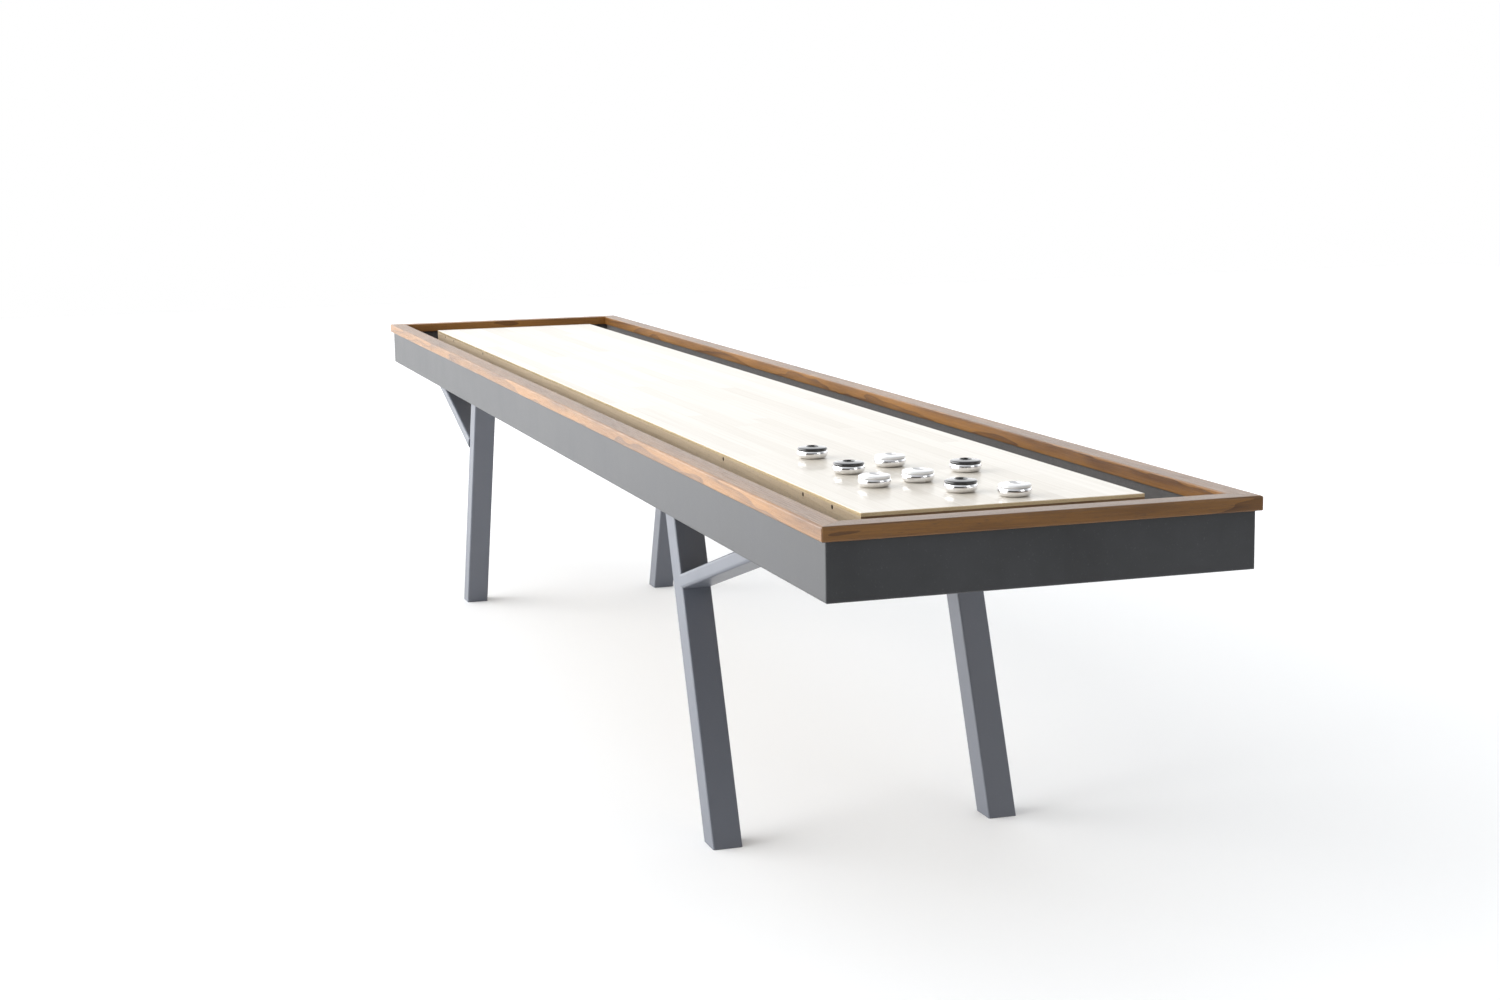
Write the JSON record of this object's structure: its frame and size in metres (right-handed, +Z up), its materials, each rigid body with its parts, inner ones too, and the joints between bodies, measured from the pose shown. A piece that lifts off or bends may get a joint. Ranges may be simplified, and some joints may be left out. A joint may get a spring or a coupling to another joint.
{
  "type": "shuffleboard table",
  "caption": "Free-standing shuffleboard table with wooden rails, a glossy playfield, felt-lined gutters, splayed Y legs, screw levellers and sliding pucks.",
  "frame": {"origin": "on the floor, at the centre of the table's length and width", "axes": "+X along the table towards the end where the pucks rest, +Y across the table, +Z up"},
  "size_m": [4.267, 0.762, 0.7806],
  "materials": {
    "rail_wood": "oiled",
    "key_wood": "sanded",
    "zinc_steel": "zinc plated",
    "case_paint": "fine satin powder coat",
    "pad_plastic": "matt",
    "gutter_felt": "felt",
    "board_maple": "lacquered",
    "board_coat": "high gloss",
    "puck_chrome": "mirror",
    "black_cap": "gloss",
    "white_cap": "gloss"
  },
  "bodies": {
    "table": {"side_rail_left": "rail_wood", "side_rail_right": "rail_wood", "end_rail_near": "rail_wood", "end_rail_far": "rail_wood", "mitre_keys": "key_wood", "rail_screws": "zinc_steel", "side_apron_left": "case_paint", "side_apron_right": "case_paint", "end_apron_near": "case_paint", "end_apron_far": "case_paint", "leg_beams": "case_paint", "middle_beams": "case_paint", "side_gutter_pans": "case_paint", "end_gutter_pans": "case_paint", "gutter_ledgers": "case_paint", "gutter_felts": "gutter_felt", "playfield_slab": "board_maple", "playfield_coat": "board_coat", "tie_rods": "zinc_steel", "tie_rod_nuts": "zinc_steel", "playfield_rests": "board_maple", "adjuster_lugs": "zinc_steel", "adjuster_rods": "zinc_steel", "adjuster_nuts": "zinc_steel", "adjuster_screws": "zinc_steel", "leg_near_left": "case_paint", "leg_near_right": "case_paint", "leg_far_left": "case_paint", "leg_far_right": "case_paint", "brace_near_left": "case_paint", "brace_near_right": "case_paint", "brace_far_left": "case_paint", "brace_far_right": "case_paint", "leg_plates": "case_paint", "plate_bolts": "zinc_steel", "foot_rings": "case_paint"},
    "pad_near_left": {"leveller_pad_near_left": "pad_plastic"},
    "stud_near_left": {"leveller_stud_near_left": "zinc_steel"},
    "pad_near_right": {"leveller_pad_near_right": "pad_plastic"},
    "stud_near_right": {"leveller_stud_near_right": "zinc_steel"},
    "pad_far_left": {"leveller_pad_far_left": "pad_plastic"},
    "stud_far_left": {"leveller_stud_far_left": "zinc_steel"},
    "pad_far_right": {"leveller_pad_far_right": "pad_plastic"},
    "stud_far_right": {"leveller_stud_far_right": "zinc_steel"},
    "black_puck_1": {"black_puck_1": "puck_chrome", "black_cap_1": "black_cap"},
    "black_puck_2": {"black_puck_2": "puck_chrome", "black_cap_2": "black_cap"},
    "black_puck_3": {"black_puck_3": "puck_chrome", "black_cap_3": "black_cap"},
    "black_puck_4": {"black_puck_4": "puck_chrome", "black_cap_4": "black_cap"},
    "white_puck_1": {"white_puck_1": "puck_chrome", "white_cap_1": "white_cap"},
    "white_puck_2": {"white_puck_2": "puck_chrome", "white_cap_2": "white_cap"},
    "white_puck_3": {"white_puck_3": "puck_chrome", "white_cap_3": "white_cap"},
    "white_puck_4": {"white_puck_4": "puck_chrome", "white_cap_4": "white_cap"}
  },
  "joints": [
    {"name": "pad_near_left_slide", "type": "slide", "parent": "table", "child": "pad_near_left", "axis": [0, 0, 1], "range_m": [-0.012, 0]},
    {"name": "stud_near_left_turn", "type": "hinge", "parent": "pad_near_left", "child": "stud_near_left", "pos_m": [1.26735, -0.289, 0.025], "axis": [0, 0, 1], "range_deg": [-2880, 0]},
    {"name": "pad_near_right_slide", "type": "slide", "parent": "table", "child": "pad_near_right", "axis": [0, 0, 1], "range_m": [-0.012, 0]},
    {"name": "stud_near_right_turn", "type": "hinge", "parent": "pad_near_right", "child": "stud_near_right", "pos_m": [1.26735, 0.289, 0.025], "axis": [0, 0, 1], "range_deg": [-2880, 0]},
    {"name": "pad_far_left_slide", "type": "slide", "parent": "table", "child": "pad_far_left", "axis": [0, 0, 1], "range_m": [-0.012, 0]},
    {"name": "stud_far_left_turn", "type": "hinge", "parent": "pad_far_left", "child": "stud_far_left", "pos_m": [-1.26735, -0.289, 0.025], "axis": [0, 0, 1], "range_deg": [-2880, 0]},
    {"name": "pad_far_right_slide", "type": "slide", "parent": "table", "child": "pad_far_right", "axis": [0, 0, 1], "range_m": [-0.012, 0]},
    {"name": "stud_far_right_turn", "type": "hinge", "parent": "pad_far_right", "child": "stud_far_right", "pos_m": [-1.26735, 0.289, 0.025], "axis": [0, 0, 1], "range_deg": [-2880, 0]},
    {"name": "black_puck_1_slide", "type": "slide", "parent": "table", "child": "black_puck_1", "axis": [1, 0, 0], "range_m": [-3.232, 0.153]},
    {"name": "black_puck_2_slide", "type": "slide", "parent": "table", "child": "black_puck_2", "axis": [1, 0, 0], "range_m": [-0.153, 0.106]},
    {"name": "black_puck_3_slide", "type": "slide", "parent": "table", "child": "black_puck_3", "axis": [1, 0, 0], "range_m": [-3.508, 0.243]},
    {"name": "black_puck_4_slide", "type": "slide", "parent": "table", "child": "black_puck_4", "axis": [1, 0, 0], "range_m": [-0.081, 0.109]},
    {"name": "white_puck_1_slide", "type": "slide", "parent": "table", "child": "white_puck_1", "axis": [1, 0, 0], "range_m": [-3.393, 0.139]},
    {"name": "white_puck_2_slide", "type": "slide", "parent": "table", "child": "white_puck_2", "axis": [1, 0, 0], "range_m": [-0.106, 0.222]},
    {"name": "white_puck_3_slide", "type": "slide", "parent": "table", "child": "white_puck_3", "axis": [1, 0, 0], "range_m": [-0.139, 0.081]},
    {"name": "white_puck_4_slide", "type": "slide", "parent": "table", "child": "white_puck_4", "axis": [1, 0, 0], "range_m": [-0.243, 0.032]}
  ],
  "couplings": [
    {"joint": "pad_near_left_slide", "follows": "stud_near_left_turn", "m_per_rad": 0.0002387},
    {"joint": "pad_near_right_slide", "follows": "stud_near_right_turn", "m_per_rad": 0.0002387},
    {"joint": "pad_far_left_slide", "follows": "stud_far_left_turn", "m_per_rad": 0.0002387},
    {"joint": "pad_far_right_slide", "follows": "stud_far_right_turn", "m_per_rad": 0.0002387}
  ]
}
